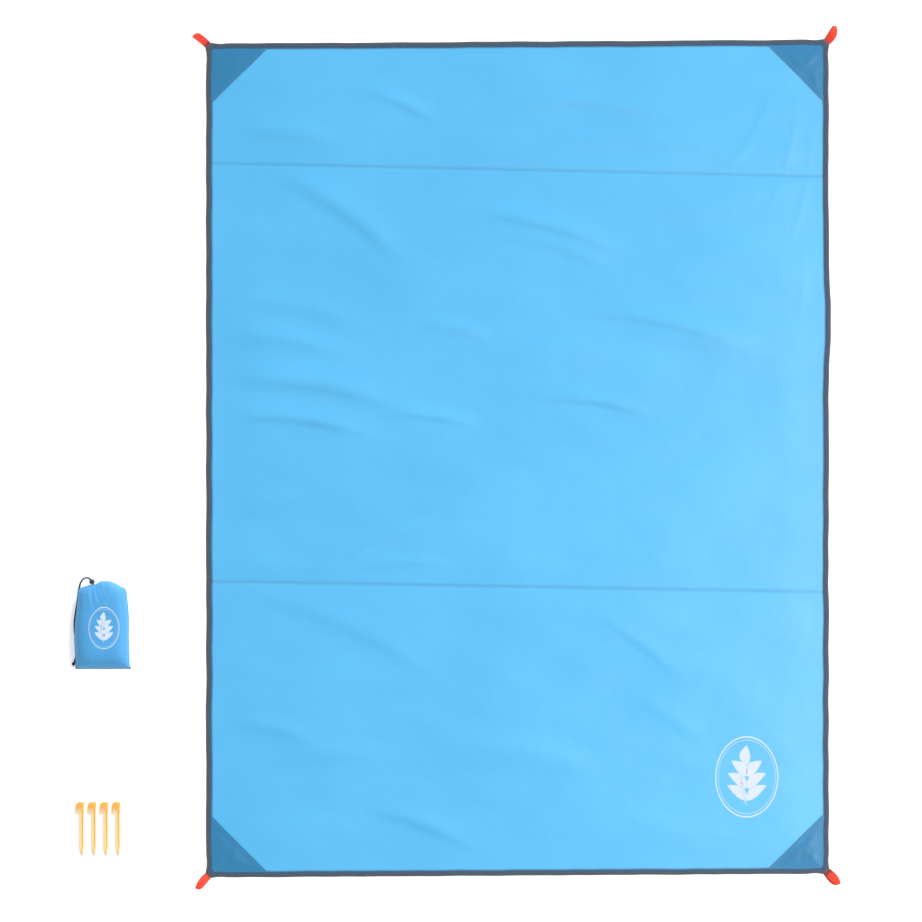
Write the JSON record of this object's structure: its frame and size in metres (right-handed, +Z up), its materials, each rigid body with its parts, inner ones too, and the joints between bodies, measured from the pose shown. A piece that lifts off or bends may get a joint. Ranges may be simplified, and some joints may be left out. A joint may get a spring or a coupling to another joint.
{
  "type": "camp blanket",
  "caption": "Flat rectangular camp blanket with a bound edge, reinforced corners with webbing loops, a drawstring pouch and hooked stakes laid beside it.",
  "frame": {"origin": "centre of the underside of the sheet; the ground is 0.9 mm lower, because the binding wraps under the sheet", "axes": "+Y along the length of the sheet towards its far edge, where the shorter fold is; +X to the right; +Z up out of the sheet"},
  "size_m": [1.8911, 2.1112, 0.0483],
  "materials": {
    "sheet_cloth": "thin plain-weave nylon, slight sheen",
    "binding_tape": "matt ribbed grosgrain tape",
    "patch_cloth": "double layer of the sheet's cloth",
    "loop_webbing": "flat woven webbing",
    "stake_plastic": "satin moulded plastic",
    "pouch_cloth": "thin plain-weave nylon, slight sheen",
    "cord": "braided polyester cord",
    "lock_plastic": "satin moulded plastic",
    "spring_steel": "bright wire"
  },
  "bodies": {
    "middle_panel": {"sheet_middle_panel": "sheet_cloth", "binding_left_middle": "binding_tape", "binding_right_middle": "binding_tape"},
    "top_panel": {"sheet_top_panel": "sheet_cloth", "binding_top": "binding_tape", "binding_left_top": "binding_tape", "binding_right_top": "binding_tape", "corner_patch_top_left": "patch_cloth", "corner_patch_top_right": "patch_cloth"},
    "bottom_panel": {"sheet_bottom_panel": "sheet_cloth", "binding_bottom": "binding_tape", "binding_left_bottom": "binding_tape", "binding_right_bottom": "binding_tape", "corner_patch_bottom_left": "patch_cloth", "corner_patch_bottom_right": "patch_cloth"},
    "pouch": {"pouch_front_panel": "pouch_cloth", "pouch_back_panel": "pouch_cloth", "drawcord": "cord", "drawcord_knot": "cord", "cord_lock_barrel": "lock_plastic", "cord_lock_spring": "spring_steel"},
    "cord_lock_button": {"cord_lock_button": "lock_plastic"},
    "top_left_loop": {"corner_loop_top_left": "loop_webbing"},
    "top_right_loop": {"corner_loop_top_right": "loop_webbing"},
    "bottom_left_loop": {"corner_loop_bottom_left": "loop_webbing"},
    "bottom_right_loop": {"corner_loop_bottom_right": "loop_webbing"},
    "stake_1": {"stake_1": "stake_plastic"},
    "stake_2": {"stake_2": "stake_plastic"},
    "stake_3": {"stake_3": "stake_plastic"},
    "stake_4": {"stake_4": "stake_plastic"}
  },
  "joints": [
    {"name": "top_fold", "type": "hinge", "parent": "middle_panel", "child": "top_panel", "pos_m": [0, 0.707, 0.008], "axis": [1, 0, 0], "range_deg": [0, 180]},
    {"name": "bottom_fold", "type": "hinge", "parent": "middle_panel", "child": "bottom_panel", "pos_m": [0, -0.323, 0.014], "axis": [-1, 0, 0], "range_deg": [0, 180]},
    {"name": "top_left_loop_lift", "type": "hinge", "parent": "top_panel", "child": "top_left_loop", "pos_m": [-0.75793, 1.01793, 0.0021], "axis": [-0.7071, -0.7071, 0], "range_deg": [-75, 0]},
    {"name": "top_right_loop_lift", "type": "hinge", "parent": "top_panel", "child": "top_right_loop", "pos_m": [0.75793, 1.01793, 0.0021], "axis": [-0.7071, 0.7071, 0], "range_deg": [-75, 0]},
    {"name": "bottom_left_loop_lift", "type": "hinge", "parent": "bottom_panel", "child": "bottom_left_loop", "pos_m": [-0.75793, -1.01793, 0.0021], "axis": [0.7071, -0.7071, 0], "range_deg": [-75, 0]},
    {"name": "bottom_right_loop_lift", "type": "hinge", "parent": "bottom_panel", "child": "bottom_right_loop", "pos_m": [0.75793, -1.01793, 0.0021], "axis": [0.7071, 0.7071, 0], "range_deg": [-75, 0]},
    {"name": "stake_1_lift", "type": "slide", "parent": "middle_panel", "child": "stake_1", "axis": [0, 0, 1], "range_m": [0, 0.15]},
    {"name": "stake_2_lift", "type": "slide", "parent": "middle_panel", "child": "stake_2", "axis": [0, 0, 1], "range_m": [0, 0.15]},
    {"name": "stake_3_lift", "type": "slide", "parent": "middle_panel", "child": "stake_3", "axis": [0, 0, 1], "range_m": [0, 0.15]},
    {"name": "stake_4_lift", "type": "slide", "parent": "middle_panel", "child": "stake_4", "axis": [0, 0, 1], "range_m": [0, 0.15]},
    {"name": "pouch_lift", "type": "slide", "parent": "middle_panel", "child": "pouch", "axis": [0, 0, 1], "range_m": [0, 0.15]},
    {"name": "cord_lock_press", "type": "slide", "parent": "pouch", "child": "cord_lock_button", "axis": [0, 0, -1], "range_m": [0, 0.003], "stiffness_N_per_m": 300, "springref_m": -0.004, "deforming": ["cord_lock_spring"]}
  ]
}
